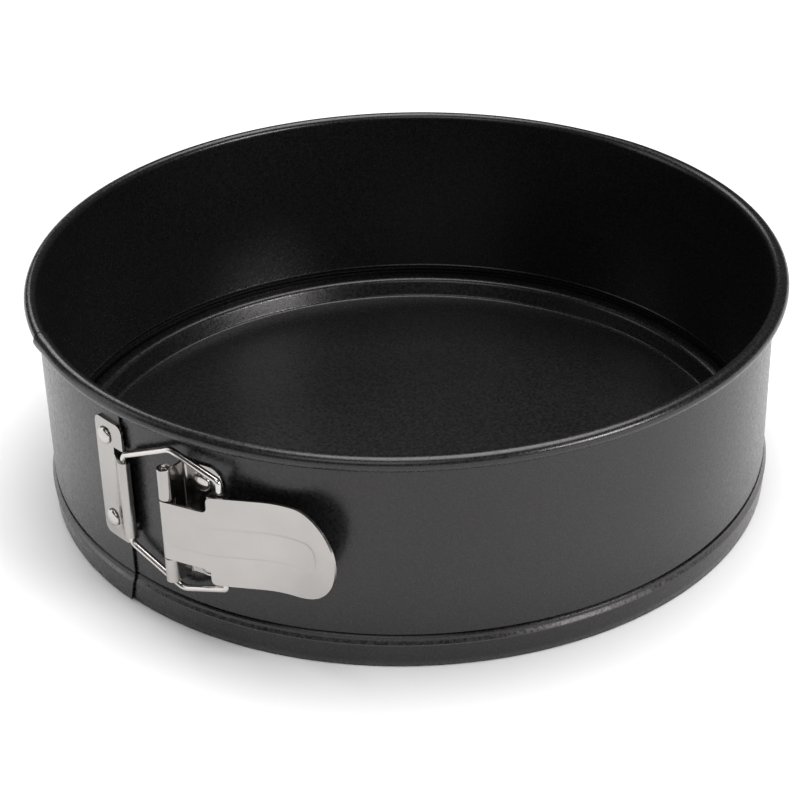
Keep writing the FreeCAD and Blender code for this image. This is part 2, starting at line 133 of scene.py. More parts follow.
# ---- Mesh helpers ------------------------------------------------------------------------
def rounded(points, radii, step=12.0):
    """A polyline with an arc at each inner corner; `step` is degrees of turn per point."""
    out = [Vector(points[0])]
    for a, b, c, r in zip(points, points[1:], points[2:], radii):
        a, b, c = Vector(a), Vector(b), Vector(c)
        into, away = (b - a).normalized(), (c - b).normalized()
        turn = into.angle(away)
        if turn < 1e-4 or r <= 0:
            out.append(b)
            continue
        reach = r * math.tan(turn / 2)
        start = b - into * reach
        count = max(2, math.ceil(math.degrees(turn) / step))
        side = (away - into * into.dot(away)).normalized()
        for k in range(count + 1):
            t = turn * k / count
            out.append(start + into * (r * math.sin(t)) + side * (r * (1 - math.cos(t))))
    out.append(Vector(points[-1]))
    return out


def resampled(points, step):
    """Adds points so that no stretch is longer than `step`."""
    out = [points[0]]
    for a, b in zip(points, points[1:]):
        count = max(1, math.ceil((b - a).length / step))
        out += [a + (b - a) * (k / count) for k in range(1, count + 1)]
    return out


def spaced(start, end, count):
    return [start + (end - start) * k / count for k in range(count + 1)]


def mesh_object(name, verts, faces, smooth=True):
    mesh = bpy.data.meshes.new(name)
    mesh.from_pydata([tuple(v) for v in verts], [], faces)
    mesh.validate()
    made = bmesh.new()
    made.from_mesh(mesh)
    bmesh.ops.remove_doubles(made, verts=made.verts, dist=1e-6)
    bmesh.ops.recalc_face_normals(made, faces=made.faces)
    made.to_mesh(mesh)
    made.free()
    for p in mesh.polygons:
        p.use_smooth = smooth
    obj = bpy.data.objects.new(name, mesh)
    bpy.context.scene.collection.objects.link(obj)
    return obj


def round_edges(obj, width, segments=2, angle=35):
    bevel = obj.modifiers.new("edges", "BEVEL")
    bevel.width = width
    bevel.segments = segments
    bevel.limit_method = "ANGLE"
    bevel.angle_limit = math.radians(angle)
    bevel.harden_normals = True
    return obj


def apply_modifiers(obj):
    graph = bpy.context.evaluated_depsgraph_get()
    made = bpy.data.meshes.new_from_object(obj.evaluated_get(graph))
    obj.modifiers.clear()
    obj.data = made
    return obj


def lathe(name, section, centre, start, end, step=1.5, closed_section=True, caps=(True, True)):
    """Turns a section of (radius, z) points about a vertical axis between two azimuths."""
    whole = abs(end - start) >= 360
    count = max(3, math.ceil(abs(end - start) / step))
    columns = count if whole else count + 1
    n = len(section)
    verts, faces = [], []
    for i in range(columns):
        az = start + (end - start) * i / count
        verts += [centre + polar(r, az, z) for r, z in section]
    pairs = n if closed_section else n - 1
    for i in range(count):
        j = (i + 1) % columns
        for k in range(pairs):
            m = (k + 1) % n
            faces.append((i * n + k, j * n + k, j * n + m, i * n + m))
    if closed_section and not whole:
        if caps[0]:
            faces.append(tuple(range(n)))
        if caps[1]:
            faces.append(tuple(range((columns - 1) * n, columns * n))[::-1])
    return mesh_object(name, verts, faces)


def sheet(name, cells, thickness, edge):
    """Quads of points on a sheet's outer face, given thickness inwards and rounded edges."""
    verts, faces, seen = [], [], {}
    for cell in cells:
        face = []
        for point in cell:
            key = tuple(round(c * 1e7) for c in point)
            if key not in seen:
                seen[key] = len(verts)
                verts.append(point)
            face.append(seen[key])
        if len(set(face)) == 4:
            faces.append(tuple(face))
        elif len(set(face)) == 3:
            faces.append(tuple(dict.fromkeys(face)))
    mesh = bpy.data.meshes.new(name)
    mesh.from_pydata([tuple(v) for v in verts], [], faces)
    mesh.validate()
    for p in mesh.polygons:
        p.use_smooth = True
    obj = bpy.data.objects.new(name, mesh)
    bpy.context.scene.collection.objects.link(obj)
    solid = obj.modifiers.new("sheet", "SOLIDIFY")
    solid.thickness = thickness
    solid.offset = -1
    solid.use_even_offset = True
    round_edges(obj, edge)
    return apply_modifiers(obj)


def grid_cells(columns):
    """Quads between neighbouring columns of points."""
    cells = []
    for a, b in zip(columns, columns[1:]):
        for k in range(len(a) - 1):
            cells.append((a[k], b[k], b[k + 1], a[k + 1]))
    return cells


def swept_tube(name, path, radius, around=20, tip=0.25 * MM):
    """A round rod along a path, with its ends slightly chamfered."""
    start, end = path[0], path[-1]
    first, last = (path[1] - start).normalized(), (end - path[-2]).normalized()
    rings = [(start, radius - tip), (start + first * tip, radius)]
    rings += [(p, radius) for p in path[1:-1]]
    rings += [(end - last * tip, radius), (end, radius - tip)]
    verts, faces = [], []
    axis = first
    side = axis.orthogonal().normalized()
    for i, (p, r) in enumerate(rings):
        before = rings[max(i - 1, 0)][0]
        after = rings[min(i + 1, len(rings) - 1)][0]
        now = (after - before).normalized()
        side = (axis.rotation_difference(now) @ side).normalized()
        axis = now
        other = axis.cross(side)
        for k in range(around):
            t = 2 * math.pi * k / around
            verts.append(p + (side * math.cos(t) + other * math.sin(t)) * r)
    for i in range(len(rings) - 1):
        for k in range(around):
            m = (k + 1) % around
            a, b = i * around, (i + 1) * around
            faces.append((a + k, a + m, b + m, b + k))
    faces.append(tuple(range(around))[::-1])
    faces.append(tuple(range(len(verts) - around, len(verts))))
    return mesh_object(name, verts, faces)


# ---- Materials ---------------------------------------------------------------------------
class Nodes:
    """A new material's node tree, with short calls for what the materials below repeat."""

    def __init__(self, name):
        self.material = bpy.data.materials.new(name)
        self.material.use_nodes = True
        self.tree = self.material.node_tree
        self.shader = self.tree.nodes["Principled BSDF"]
        self.place = self.add("ShaderNodeTexCoord").outputs["Object"]

    def add(self, kind, **values):
        node = self.tree.nodes.new(kind)
        for key, value in values.items():
            setattr(node, key, value)
        return node

    def link(self, a, b):
        self.tree.links.new(a, b)

    def noise(self, scale, detail=2.0, roughness=0.5, place=None):
        node = self.add("ShaderNodeTexNoise")
        node.inputs["Scale"].default_value = scale
        node.inputs["Detail"].default_value = detail
        node.inputs["Roughness"].default_value = roughness
        self.link(place or self.place, node.inputs["Vector"])
        return node.outputs["Fac"]

    def stretched(self, scale):
        node = self.add("ShaderNodeMapping")
        node.inputs["Scale"].default_value = scale
        self.link(self.place, node.inputs["Vector"])
        return node.outputs["Vector"]

    def ramp(self, value, *stops):
        node = self.add("ShaderNodeValToRGB")
        ramp = node.color_ramp
        while len(ramp.elements) < len(stops):
            ramp.elements.new(0.5)
        for element, (at, colour) in zip(ramp.elements, stops):
            element.position = at
            element.color = (*colour, 1) if len(colour) == 3 else colour
        self.link(value, node.inputs["Fac"])
        return node.outputs["Color"]

    def range(self, value, low, high, to_low, to_high):
        node = self.add("ShaderNodeMapRange")
        numbers = (("From Min", low), ("From Max", high), ("To Min", to_low), ("To Max", to_high))
        for key, number in numbers:
            node.inputs[key].default_value = number
        self.link(value, node.inputs["Value"])
        return node.outputs["Result"]

    def mix(self, factor, a, b):
        node = self.add("ShaderNodeMix", data_type="RGBA")
        for socket, value in ((node.inputs[0], factor), (node.inputs[6], a), (node.inputs[7], b)):
            if hasattr(value, "is_output"):
                self.link(value, socket)
            else:
                socket.default_value = value
        return node.outputs[2]

    def height(self):
        """Height above the table in metres; every object's own axes are the frame's."""
        split = self.add("ShaderNodeSeparateXYZ")
        self.link(self.place, split.inputs[0])
        return split.outputs["Z"]

    def bump(self, height, strength, distance, below=None):
        node = self.add("ShaderNodeBump")
        node.inputs["Strength"].default_value = strength
        node.inputs["Distance"].default_value = distance
        self.link(height, node.inputs["Height"])
        if below is not None:
            self.link(below, node.inputs["Normal"])
        return node.outputs["Normal"]


def coating(name, groove=None):
    """Dark non-stick coating: fine pale flecks, slow changes of tone, a soft pebbled gloss.

    `groove` is the height of a pressed groove: near-black metal in it is painted shade, and
    bright metal on the bead below is a painted highlight.
    """
    n = Nodes(name)
    grain = n.noise(2300, 3.0, 0.7)
    flecks = n.range(grain, 0.46, 0.76, 0.0, 1.0)
    tone = n.noise(18, 3.0)
    base = n.ramp(tone, (0.35, (0.0024, 0.0023, 0.0024)), (0.65, (0.0038, 0.0036, 0.0037)))
    colour = n.mix(flecks, base, (0.022, 0.021, 0.021, 1))
    if groove is not None:
        # Up from the foot: plain, bright metal on the bead as a painted highlight, plain,
        # near-black metal in the groove as painted shade, plain.
        span = 2 * groove
        level = n.range(n.height(), 0, span, 0.0, 1.0)
        shade_and_highlight_bands = [(-3.0, 0), (-2.6, 1), (-1.7, 1), (-1.3, 0),
                (-0.4, 0), (-0.1, 1), (0.1, 1), (0.45, 0)]
        shade_and_highlight_metallic = n.ramp(level, *[(0.5 + z * MM / span, (v, v, v)) for z, v in shade_and_highlight_bands])
        # Painted light: the 0.105 grey metal on the bead is a painted highlight, and the 0.006
        # metal in the groove is painted shade.
        shades = [(-1.3, (0.105, 0.101, 0.100)), (-0.4, (0.006, 0.006, 0.006))]
        shade_and_highlight_colour = n.ramp(level, *[(0.5 + z * MM / span, shade) for z, shade in shades])
        colour = n.mix(shade_and_highlight_metallic, colour, shade_and_highlight_colour)
        n.link(shade_and_highlight_metallic, n.shader.inputs["Metallic"])
    n.link(colour, n.shader.inputs["Base Color"])
    rough = n.range(n.noise(900, 2.0), 0.3, 0.7, 0.22, 0.35)
    n.link(rough, n.shader.inputs["Roughness"])
    orange_peel = n.bump(n.noise(700, 2.0), 0.45, 0.05 * MM)
    n.link(n.bump(grain, 0.4, 0.03 * MM, orange_peel), n.shader.inputs["Normal"])
    n.shader.inputs["Specular IOR Level"].default_value = 0.50
    n.shader.inputs["Specular Tint"].default_value = (1.0, 0.965, 0.98, 1)
    return n.material


def plated_steel(name, along, shade, rough):
    """Bright plated steel: faint rolling lines, slight clouding, tiny scuffs.

    `along` squeezes the lines on each axis: a small number draws them out that way.
    """
    n = Nodes(name)
    lines = n.noise(1.0, 3.0, 0.6, n.stretched(tuple(2200 * a for a in along)))
    cloud = n.noise(70, 4.0, 0.6)
    warm = (shade, shade * 0.950, shade * 0.915)
    cool = (shade * 0.92, shade * 0.885, shade * 0.860)
    tone = n.ramp(cloud, (0.35, cool), (0.62, warm))
    streaks = n.range(lines, 0.3, 0.7, 0.0, 0.10)
    n.link(n.mix(streaks, tone, (0.34, 0.32, 0.30, 1)), n.shader.inputs["Base Color"])
    scuffs = n.range(n.noise(420, 4.0, 0.7), 0.62, 0.80, 0.0, 0.08)
    base_rough = n.range(cloud, 0.3, 0.7, rough - 0.03, rough + 0.05)
    add = n.add("ShaderNodeMath", operation="ADD")
    n.link(base_rough, add.inputs[0])
    n.link(scuffs, add.inputs[1])
    n.link(add.outputs[0], n.shader.inputs["Roughness"])
    waves = n.bump(cloud, 0.10, 0.10 * MM)
    n.link(n.bump(lines, 0.06, 0.01 * MM, waves), n.shader.inputs["Normal"])
    n.shader.inputs["Metallic"].default_value = 1.0
    return n.material


coat = coating("nonstick_coating")
band_coat = coating("nonstick_band", CREASE_Z)
steel_sheet = plated_steel("plated_sheet", (1, 1, 0.06), 0.39, 0.16)
steel_lever = plated_steel("plated_lever", (0.06, 0.06, 1), 0.42, 0.20)
steel_wire = plated_steel("plated_wire", (1, 1, 0.1), 0.60, 0.22)
steel_rivet = plated_steel("plated_rivet", (1, 1, 1), 0.52, 0.16)


def dressed(obj, material, slot, body, *nodes):
    obj.data.materials.clear()
    obj.data.materials.append(material)
    if nodes:
        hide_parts(*nodes)
    if body:
        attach(obj, body)
    return obj


# ---- Band --------------------------------------------------------------------------------
def band_section(wider, top):
    """The wall's outside from the foot up, its inside, and the softened edge at the foot."""
    r = wall_out + wider
    path = [(r + FOOT_FLARE, FOOT_GAP), (r + SKIRT_FLARE, SKIRT_TOP),
            (r + BEAD_OUT, CREASE_Z - BEAD_DOWN), (r + LIP_OUT, CREASE_Z - LIP_DOWN),
            (r - CREASE_DEPTH, CREASE_Z), (r, CREASE_Z + 0.5 * MM), (r, top)]
    outer = rounded(path, [1.0 * MM, 0.35 * MM, 0.3 * MM, 0.12 * MM, 0.2 * MM], 8)
    inner = [Vector((p.x - BAND, p.y)) for p in outer]
    foot = [Vector((inner[0].x + 0.15 * MM, 0)), Vector((outer[0].x - 0.15 * MM, 0))]
    return outer, inner, foot


def wall_with_roll(wider):
    """Section of the band where its rim is rolled: one closed loop of points."""
    outer, inner, foot = band_section(wider, pan_top - ROLL)
    middle = wall_in + wider + ROLL
    level = pan_top - ROLL
    outer_roll = ROLL - SHY

    def on_roll(radius, turn):
        a = math.radians(180 - turn)
        return Vector((middle + radius * math.cos(a), level + radius * math.sin(a)))

    steps = 30
    inside = [on_roll(ROLL - BAND, ROLL_END * k / steps) for k in range(1, steps + 1)]
    outside = [on_roll(outer_roll, ROLL_END * k / steps) for k in range(steps, 0, -1)]
    return foot + outer + inside + outside + inner[::-1]


def resize_roll(band, centre, wider, scale):
    """Scales the rolled rim about its upper inner corner; `scale` is a function of azimuth."""
    corner = wall_in + wider
    for v in band.data.vertices:
        p = v.co - centre
        radius = math.hypot(p.x, p.y)
        upper = p.z > pan_top - ROLL + 1e-6
        outside = radius > corner + BAND + 0.05 * MM and p.z > pan_top - 2 * ROLL - 0.1 * MM
        if not (upper or outside):
            continue
        k = scale(azimuth_of(p))
        grown = corner + (radius - corner) * k
        share = grown / radius
        v.co = centre + Vector((p.x * share, p.y * share, pan_top - (pan_top - p.z) * k))


def smooth(t):
    t = min(max(t, 0.0), 1.0)
    return t * t * (3 - 2 * t)


def flap_section(wider, top):
    outer, inner, foot = band_section(wider, top)
    return foot + outer + inner[::-1]


def make_band():
    # The real strip is whole at the back, so both halves are left open there and meet.
    right = lathe("band_right", resampled(wall_with_roll(0), WALL_STEP), Vector((0, 0, 0)),
                  rim_joint, seam, 1.25, caps=(True, False))
    # Its rim opens out at the end, where the other half's rim runs into it.
    resize_roll(right, Vector((0, 0, 0)), 0,
                lambda az: 1 + 0.12 * smooth(1 - abs(az - rim_joint) / 4))
    round_edges(right, 0.12 * MM, 2, 50)
    dressed(apply_modifiers(right), band_coat, "coated_steel", "ring_right", "ring_right")

    joint = rim_joint + 360 - math.degrees(RIM_JOINT_GAP / wall_out)
    end = flap_end + 360
    left = lathe("band_left", resampled(wall_with_roll(GROW), WALL_STEP), left_centre,
                 seam, joint, 1.25, caps=(False, True))
    smaller = 1 - FLAP_ROLL / ROLL
    resize_roll(left, left_centre, GROW, lambda az: 1 - smaller * smooth((az - seam) % 360 / 10))
    round_edges(left, 0.12 * MM, 2, 50)
    apply_modifiers(left)
    dressed(left, band_coat, "coated_steel", None, "ring_left")

    # The flap runs on without the roll; below the crease its end slopes back to the foot.
    section = resampled(flap_section(GROW, pan_top - 2 * ROLL - FLAP_TOP_GAP), WALL_STEP / 2)
    flap = lathe("band_flap", section, left_centre, joint, end, 0.75)
    slope = math.degrees(FLAP_FOOT_CUT / wall_out)
    span = end - joint
    for v in flap.data.vertices:
        p = v.co.to_2d() - flat(left_centre)
        share = (azimuth_of(p) + 360 - joint) / span
        drop = max(0.0, 1 - v.co.z / SKIRT_TOP)
        turn = -math.radians(slope * drop * max(0.0, share))
        spun = Matrix.Rotation(turn, 2) @ p + flat(left_centre)
        v.co.x, v.co.y = spun.x, spun.y
    round_edges(flap, 0.12 * MM, 2, 50)
    dressed(apply_modifiers(flap), band_coat, "coated_steel", "ring_left")
    return left


band_left = make_band()


# ---- Base --------------------------------------------------------------------------------
LEDGE_WIDTH = 4 * MM
STEP_RUN = 2.4 * MM          # how far the step leans inwards on its way down
INNER_BEND, OUTER_BEND = 1.4 * MM, 2.2 * MM
RIM_EDGE = 0.2 * MM          # chamfer of the base's outer edge


def make_base():
    ledge = base_high.z - PLATE
    step_top = base_rim - LEDGE_WIDTH
    rim = base_rim - RIM_EDGE
    under = rounded([(0, 0), (step_top - STEP_RUN, 0), (step_top, ledge), (rim, ledge)],
                    [OUTER_BEND, INNER_BEND], 8)
    over = rounded([(0, PLATE), (step_top - STEP_RUN - 0.35 * MM, PLATE),
                    (step_top - 0.45 * MM, ledge + PLATE), (rim, ledge + PLATE)],
                   [INNER_BEND, OUTER_BEND], 8)
    edge = [Vector((base_rim, ledge + RIM_EDGE)), Vector((base_rim, ledge + PLATE - RIM_EDGE))]
    section = resampled(under, TRAY_STEP)[1:] + edge + resampled(over, TRAY_STEP)[::-1][:-1]
    obj = lathe("base_tray", section, Vector((0, 0, 0)), 0, 360, 1.5, closed_section=False)
    made = bmesh.new()
    made.from_mesh(obj.data)
    bmesh.ops.holes_fill(made, edges=[e for e in made.edges if e.is_boundary], sides=0)
    bmesh.ops.recalc_face_normals(made, faces=made.faces)
    made.to_mesh(obj.data)
    made.free()
    for p in obj.data.polygons:
        p.use_smooth = True
    dressed(obj, coat, "coated_steel", "base", "base_plate")


make_base()


# ---- Latch -------------------------------------------------------------------------------
def curl_points(axis, radius, start, turn, step=10.0):
    """Points on a curl's outer face, from an angle on through a signed turn, in degrees."""
    count = math.ceil(abs(turn) / step)
    angles = [math.radians(start + turn * k / count) for k in range(count + 1)]
    return [axis + Vector((math.cos(a), math.sin(a))) * radius for a in angles]


LEVER_NECK = 14.0 * MM
LEVER_DIP = 35.0 * MM
NECK_LEAN, MAIN_LEAN, TIP_LEAN = (math.radians(d) for d in (7.7, 23.0, -5.7))
NECK_CORNER = 1.6 * MM
NECK_HALF = 9.6 * MM
PANEL_HALF = 4.6 * MM        # the shallow pressed panel down the middle of the lever
PANEL_DEPTH = 0.13 * MM
PANEL_SLOPE = 0.5 * MM
PANEL_CORNER = 1.7 * MM
PANEL_END = 3.9 * MM


def lever_plan():
    """The lever's outer face from above, from the curl's tangent to the tip."""
    def on(point, lean, x):
        return Vector((x, point.y + math.tan(lean) * (x - point.x)))

    start = pin_axis + Vector((math.sin(NECK_LEAN), -math.cos(NECK_LEAN))) * curl_out
    knee = on(start, NECK_LEAN, LEVER_NECK)
    dip = on(knee, MAIN_LEAN, LEVER_DIP)
    tip = on(dip, TIP_LEAN, lever_high.x)
    return rounded([start, knee, dip, tip], [25 * MM, 30 * MM], 1.0)


def lever_surface():
    """Returns a function that gives the lever's outer face, panel included, at (x, z)."""
    plan = lever_plan()
    panel_left, panel_right = 1.3 * MM, lever_high.x - 7.0 * MM
    panel_middle, panel_reach = (panel_left + panel_right) / 2, (panel_right - panel_left) / 2

    def at(x, z):
        for a, b in zip(plan, plan[1:]):
            if x <= b.x:
                break
        y = a.y + (b.y - a.y) * (x - a.x) / (b.x - a.x)
        normal = Vector((b.y - a.y, a.x - b.x)).normalized()
        corner = PANEL_CORNER if x < panel_middle else PANEL_END
        over_x = abs(x - panel_middle) - panel_reach + corner
        over_z = abs(z) - PANEL_HALF + corner
        inside = corner - math.hypot(max(over_x, 0), max(over_z, 0)) - min(max(over_x, over_z), 0)
        t = min(max(inside / PANEL_SLOPE + 0.5, 0.0), 1.0)
        sunk = PANEL_DEPTH * t * t * (3 - 2 * t)
        p = Vector((x, y)) - normal * sunk
        return Vector((p.x, p.y, latch_z + z))

    return at


def make_lever():
    at = lever_surface()
    half = (lever_high.z - lever_low.z) / 2
    length = lever_high.x
    round_x = length - half
    start_x = lever_plan()[0].x
    corner_x = LEVER_NECK - NECK_CORNER
    meet_x = round_x + math.sqrt(half ** 2 - NECK_HALF ** 2)

    rows = [NECK_HALF * k / 44 for k in range(-44, 45)]
    shoulder = 130
    xs = [start_x + (corner_x - start_x) * k / 44 for k in range(44)]
    xs += [corner_x + (meet_x - corner_x) * k / shoulder for k in range(shoulder + 1)]
    end_angle = math.acos((meet_x - round_x) / half)
    tips = [round_x + half * math.cos(end_angle * (1 - k / 30)) for k in range(1, 31)]
    xs += tips
    columns = []
    for x in xs:
        high = math.sqrt(max(half ** 2 - (x - round_x) ** 2, 0)) if x > meet_x else NECK_HALF
        columns.append([at(min(x, length - 1e-6), r * high / NECK_HALF) for r in rows])

    # The curl goes on from the neck, round the pin.
    first = math.degrees(NECK_LEAN) - 90
    curl = [[Vector((p.x, p.y, latch_z + r)) for r in rows]
            for p in curl_points(pin_axis, curl_out, first, -285)]
    cells = grid_cells(curl[::-1][:-1] + columns)

    # The wide part above and below the neck's line.
    outline = rounded([(corner_x - 0.1 * MM, NECK_HALF), (LEVER_NECK, NECK_HALF),
                       (LEVER_NECK, half), (round_x, half)],
                      [NECK_CORNER - 0.1 * MM, NECK_CORNER], 10)
    outline[0].x = corner_x
    turns = (math.radians(90) + (end_angle - math.radians(90)) * k / 24 for k in range(1, 25))
    outline += [Vector((round_x + half * math.cos(a), half * math.sin(a))) for a in turns]
    lengths = [0.0]
    for a, b in zip(outline, outline[1:]):
        lengths.append(lengths[-1] + (b - a).length)

    def along(share):
        want = share * lengths[-1]
        for k in range(len(outline) - 1):
            if want <= lengths[k + 1] + 1e-12:
                part = (want - lengths[k]) / max(lengths[k + 1] - lengths[k], 1e-12)
                return outline[k].lerp(outline[k + 1], part)
        return outline[-1]

    for side in (1, -1):
        wing = []
        for k in range(shoulder + 1):
            low = Vector((corner_x + (meet_x - corner_x) * k / shoulder, NECK_HALF))
            high = along(k / shoulder)
            wing.append([at(p.x, side * p.y) for p in (low.lerp(high, m / 9) for m in range(10))])
        if side < 0:
            wing = [column[::-1] for column in wing]
        cells += grid_cells(wing)
    lever = sheet("lever_plate", cells, PLATE, 0.26 * MM)
    dressed(lever, steel_lever, "plated_steel", "lever", "latch_lever")
    make_ears()


def plate_with_hole(name, corners, hole, hole_radius, low, high, edge):
    """A flat piece with one round hole, made of strips from the hole's edge to the outline."""
    count = 48
    outline = resampled([Vector(c) for c in corners + corners[:1]], 0.3 * MM)[:-1]
    ring, rim = [], []
    for k in range(count):
        a = 2 * math.pi * k / count
        d = Vector((math.cos(a), math.sin(a)))
        ring.append(hole + d * hole_radius)
        rim.append(max(outline, key=lambda p: (p - hole).normalized().dot(d)))
    verts, faces = [], []
    for z in (low, high):
        verts += [Vector((p.x, p.y, z)) for p in ring + rim]
    top = 2 * count
    for k in range(count):
        m = (k + 1) % count
        faces.append((k, m, count + m, count + k))
        faces.append((top + k, top + count + k, top + count + m, top + m))
        faces.append((k, top + k, top + m, m))
        faces.append((count + k, count + m, top + count + m, top + count + k))
    obj = mesh_object(name, verts, faces)
    round_edges(obj, edge, 2, 40)
    return apply_modifiers(obj)


EAR_X, EAR_IN = 16.6 * MM, 3.1 * MM
EAR_WIDTH, EAR_MARGIN = 5.2 * MM, 2.1 * MM
ear_pivot = pin_axis + Vector((EAR_X, EAR_IN))


def make_ears():
    """Two flanges that reach back from the lever's edges, each with the wire's hole."""
    at = lever_surface()
    left, right = ear_pivot.x - EAR_WIDTH / 2, ear_pivot.x + EAR_WIDTH / 2
    back = ear_pivot.y + EAR_MARGIN
    skin = 0.35 * MM
    corners = [(left, at(left, 0.012).y + skin), (right, at(right, 0.012).y + skin),
               (right, back - 0.9 * MM), (right - 0.9 * MM, back), (left + 0.9 * MM, back),
               (left, back - 0.9 * MM)]
    for name, low in (("ear_lower", lever_low.z), ("ear_upper", lever_high.z - PLATE)):
        ear = plate_with_hole(name, corners, ear_pivot, WIRE + HOLE_PLAY,
                              low, low + PLATE, 0.1 * MM)
        dressed(ear, steel_sheet, "plated_steel", "lever")


make_lever()


def rivet_bumps(centres):
    """How far a plate stands proud round each rivet: a faint pressed ring."""
    def bump(point):
        lift = 0.0
        for c in centres:
            d = (point - c).length
            lift += 0.16 * MM * math.exp(-((d - 3.6 * MM) / (0.45 * MM)) ** 2)
        return lift
    return bump


def rivet_centre(node):
    low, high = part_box(node)
    return (low + high) / 2


HINGE_REACH = 14.6 * MM      # along the band, from the pin to the plate's free edge
HINGE_CORNER = 5.0 * MM
RISER_BEND = 1.0 * MM
KNUCKLE_GAP = 0.35 * MM      # round the lever's curl


def make_hinge_plate():
    """Flat on the band, out along a riser, and round the pin in two knuckles."""
    out = plate_in + PLATE
    right = math.degrees(HINGE_REACH / wall_out)
    riser_x = curl_out
    turn = math.degrees(math.asin((riser_x + RISER_BEND) / out))
    flat_points = [polar(out, right + (turn - right) * k / 30).to_2d() for k in range(31)]
    root = Vector((riser_x, -math.sqrt(out ** 2 - riser_x ** 2)))
    bend = rounded([flat_points[-1], root, Vector((riser_x, pin_axis.y))], [RISER_BEND], 12)
    plan = flat_points[:-1] + bend[:-1]
    plan += resampled([plan[-1], Vector((riser_x, pin_axis.y))], 0.6 * MM)[1:]
    curl = curl_points(pin_axis, curl_out, 0, -292)
    low, high = hinge_low.z, hinge_high.z
    window = NECK_HALF + KNUCKLE_GAP
    levels = [low + (latch_z - window - low) * k / 10 for k in range(11)]
    levels += [latch_z - window + 2 * window * k / 20 for k in range(1, 21)]
    levels += [latch_z + window + (high - latch_z - window) * k / 10 for k in range(1, 11)]
    middle = (low + high) / 2
    corner = HINGE_CORNER
    rivets = [rivet_centre("hinge_rivet_upper"), rivet_centre("hinge_rivet_lower")]
    bump = rivet_bumps([polar(out, azimuth_of(r), r.z) for r in rivets])
    run = 0.0
    columns = []
    previous = plan[0]
    for p in plan:
        run += (p - previous).length
        previous = p
        inset = corner - math.sqrt(max(corner ** 2 - max(corner - run, 0) ** 2, 0))
        half = (high - low) / 2 - inset
        column = []
        for z in levels:
            level = middle + (z - middle) * half / ((high - low) / 2)
            point = Vector((p.x, p.y, level))
            if p.x > riser_x + 1.5 * MM:
                point += polar(bump(point), azimuth_of(p))
            column.append(point)
        columns.append(column)
    clear = curl_out + KNUCKLE_GAP
    cells = []
    for a, b in zip(columns, columns[1:]):
        for k in range(len(levels) - 1):
            centre = (a[k] + b[k + 1]) / 2
            in_window = abs(centre.z - latch_z) < window
            if in_window and (centre.to_2d() - pin_axis).length < clear:
                continue
            cells.append((a[k], b[k], b[k + 1], a[k + 1]))
    curl_columns = [columns[-1]] + [[Vector((p.x, p.y, z)) for z in levels] for p in curl[1:]]
    for a, b in zip(curl_columns, curl_columns[1:]):
        for k in range(len(levels) - 1):
            if abs((levels[k] + levels[k + 1]) / 2 - latch_z) > window:
                cells.append((a[k], b[k], b[k + 1], a[k + 1]))
    plate = sheet("hinge_bracket", [c[::-1] for c in cells], PLATE, 0.14 * MM)
    dressed(plate, steel_sheet, "plated_steel", "ring_right", "hinge_plate")


make_hinge_plate()


ANCHOR_WIDTH = 14.0          # mm back from the curl's axis, along the band
ANCHOR_RIGHT = 1.5           # to the right edge of the full-height plate
ANCHOR_JOGGLE = 5.6          # to where the sheet leaves the band
ANCHOR_CORNER = 2.4 * MM
CURL_UP, CURL_DOWN = 11.94 * MM, 13.80 * MM   # curl's ends from the latch's middle
CURL_NOTCH = 1.8 * MM
JOGGLE_BLEND = 2.2 * MM      # half the length over which the sheet bends out to the curl


